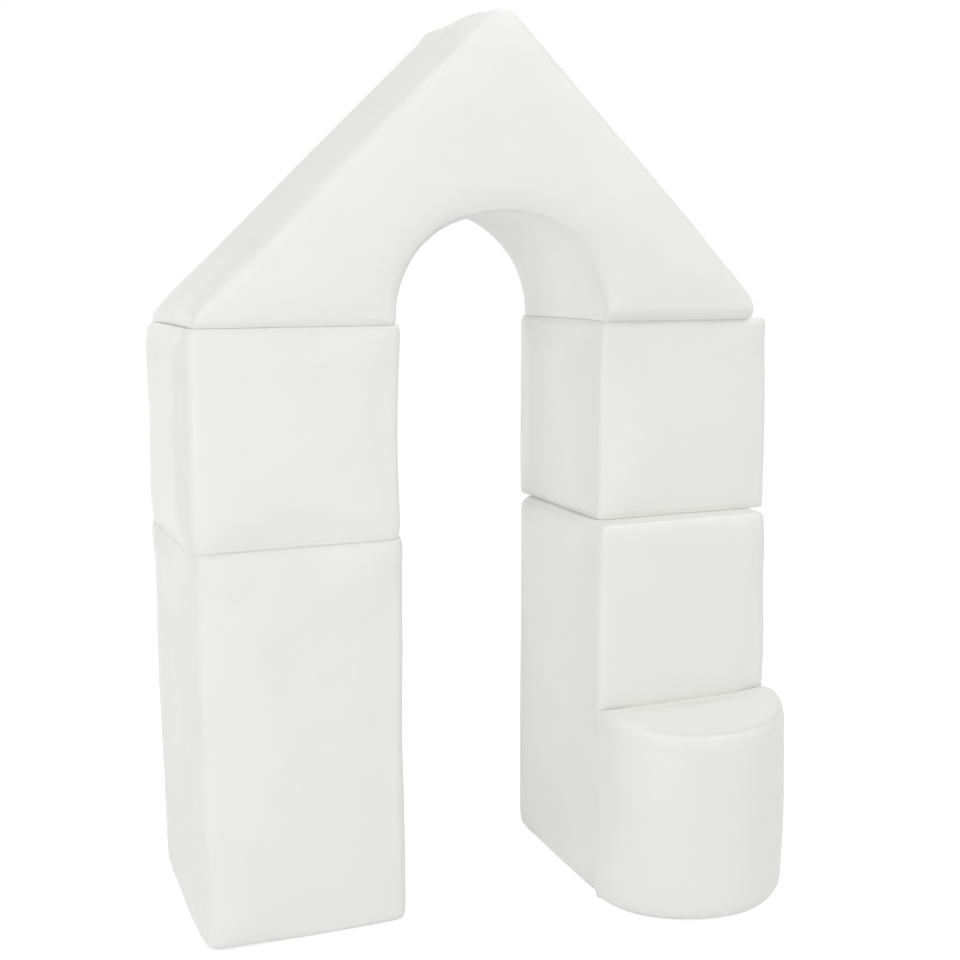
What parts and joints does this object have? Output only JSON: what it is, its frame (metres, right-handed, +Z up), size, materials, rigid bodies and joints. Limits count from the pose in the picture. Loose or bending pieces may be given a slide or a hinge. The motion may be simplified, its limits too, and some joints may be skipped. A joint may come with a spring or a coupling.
{
  "type": "foam play block set",
  "caption": "Loose soft play blocks with zipped covers, stacked as a gate: tall blocks, cubes, an arched roof block and a half-round seat.",
  "frame": {"origin": "on the floor, under the middle of the whole stack's bounding box", "axes": "+Z up, the gate's front and the half-round seat face -Y, +X to the gate's right seen from its front"},
  "size_m": [0.9258, 0.5096, 1.3171],
  "materials": {
    "cover": "smooth white imitation leather, satin",
    "foam_core": "open-cell foam, off-white",
    "zip_tape": "white woven tape with a spiral coil",
    "zip_metal": "nickel-plated, satin"
  },
  "bodies": {
    "left_tall": {"left_tall_core": "foam_core", "left_tall_side_band": "cover", "left_tall_top_panel": "cover", "left_tall_base_panel": "cover", "left_tall_zip": "zip_tape"},
    "left_tall_zip_slider": {"left_tall_zip_slider": "zip_metal"},
    "left_tall_zip_pull": {"left_tall_zip_pull": "zip_metal"},
    "right_tall": {"right_tall_core": "foam_core", "right_tall_side_band": "cover", "right_tall_top_panel": "cover", "right_tall_base_panel": "cover", "right_tall_zip": "zip_tape"},
    "right_tall_zip_slider": {"right_tall_zip_slider": "zip_metal"},
    "right_tall_zip_pull": {"right_tall_zip_pull": "zip_metal"},
    "left_cube": {"left_cube_core": "foam_core", "left_cube_side_band": "cover", "left_cube_top_panel": "cover", "left_cube_base_panel": "cover", "left_cube_zip": "zip_tape"},
    "left_cube_zip_slider": {"left_cube_zip_slider": "zip_metal"},
    "left_cube_zip_pull": {"left_cube_zip_pull": "zip_metal"},
    "right_cube": {"right_cube_core": "foam_core", "right_cube_side_band": "cover", "right_cube_top_panel": "cover", "right_cube_base_panel": "cover", "right_cube_zip": "zip_tape"},
    "right_cube_zip_slider": {"right_cube_zip_slider": "zip_metal"},
    "right_cube_zip_pull": {"right_cube_zip_pull": "zip_metal"},
    "roof": {"roof_core": "foam_core", "roof_front_panel": "cover", "roof_back_panel": "cover", "roof_slope_cover": "cover", "roof_arch_lining": "cover", "roof_left_foot_panel": "cover", "roof_right_foot_panel": "cover", "roof_zip": "zip_tape"},
    "roof_zip_slider": {"roof_zip_slider": "zip_metal"},
    "roof_zip_pull": {"roof_zip_pull": "zip_metal"},
    "seat": {"seat_core": "foam_core", "seat_side_band": "cover", "seat_top_panel": "cover", "seat_base_panel": "cover", "seat_zip": "zip_tape"},
    "seat_zip_slider": {"seat_zip_slider": "zip_metal"},
    "seat_zip_pull": {"seat_zip_pull": "zip_metal"}
  },
  "joints": [
    {"name": "left_cube_slide", "type": "slide", "parent": "left_tall", "child": "left_cube", "axis": [-1, 0, 0], "range_m": [0, 0.34]},
    {"name": "roof_lift", "type": "slide", "parent": "left_tall", "child": "roof", "axis": [0, 0, 1], "range_m": [0, 0.5]},
    {"name": "right_tall_slide", "type": "slide", "parent": "left_tall", "child": "right_tall", "axis": [1, 0, 0], "range_m": [0, 0.35]},
    {"name": "right_cube_slide", "type": "slide", "parent": "right_tall", "child": "right_cube", "axis": [1, 0, 0], "range_m": [0, 0.34]},
    {"name": "seat_slide", "type": "slide", "parent": "right_tall", "child": "seat", "axis": [0, -1, 0], "range_m": [0, 0.3]},
    {"name": "left_tall_zip_slide", "type": "slide", "parent": "left_tall", "child": "left_tall_zip_slider", "axis": [0, 0, -1], "range_m": [0, 0.46]},
    {"name": "left_tall_zip_pull_hinge", "type": "hinge", "parent": "left_tall_zip_slider", "child": "left_tall_zip_pull", "pos_m": [-0.305, 0.24875, 0.52], "axis": [1, 0, 0], "range_deg": [0, 170]},
    {"name": "right_tall_zip_slide", "type": "slide", "parent": "right_tall", "child": "right_tall_zip_slider", "axis": [0, 0, -1], "range_m": [0, 0.46]},
    {"name": "right_tall_zip_pull_hinge", "type": "hinge", "parent": "right_tall_zip_slider", "child": "right_tall_zip_pull", "pos_m": [0.289, 0.20675, 0.52], "axis": [1, 0, 0], "range_deg": [0, 170]},
    {"name": "left_cube_zip_slide", "type": "slide", "parent": "left_cube", "child": "left_cube_zip_slider", "axis": [0, 0, -1], "range_m": [0, 0.18]},
    {"name": "left_cube_zip_pull_hinge", "type": "hinge", "parent": "left_cube_zip_slider", "child": "left_cube_zip_pull", "pos_m": [-0.31, 0.24075, 0.8203], "axis": [1, 0, 0], "range_deg": [0, 170]},
    {"name": "right_cube_zip_slide", "type": "slide", "parent": "right_cube", "child": "right_cube_zip_slider", "axis": [0, 0, -1], "range_m": [0, 0.18]},
    {"name": "right_cube_zip_pull_hinge", "type": "hinge", "parent": "right_cube_zip_slider", "child": "right_cube_zip_pull", "pos_m": [0.31, 0.25275, 0.8203], "axis": [1, 0, 0], "range_deg": [0, 170]},
    {"name": "roof_zip_slide", "type": "slide", "parent": "roof", "child": "roof_zip_slider", "axis": [0.7212, 0, -0.6927], "range_m": [0, 0.348]},
    {"name": "roof_zip_pull_hinge", "type": "hinge", "parent": "roof_zip_slider", "child": "roof_zip_pull", "pos_m": [0.07155, 0.23075, 1.18963], "axis": [0.6927, 0, 0.7212], "range_deg": [0, 170]},
    {"name": "seat_zip_slide", "type": "slide", "parent": "seat", "child": "seat_zip_slider", "axis": [0, 0, -1], "range_m": [0, 0.18]},
    {"name": "seat_zip_pull_hinge", "type": "hinge", "parent": "seat_zip_slider", "child": "seat_zip_pull", "pos_m": [0.44244, -0.13315, 0.24], "axis": [-0.1229, -0.9924, 0], "range_deg": [0, 170]}
  ]
}
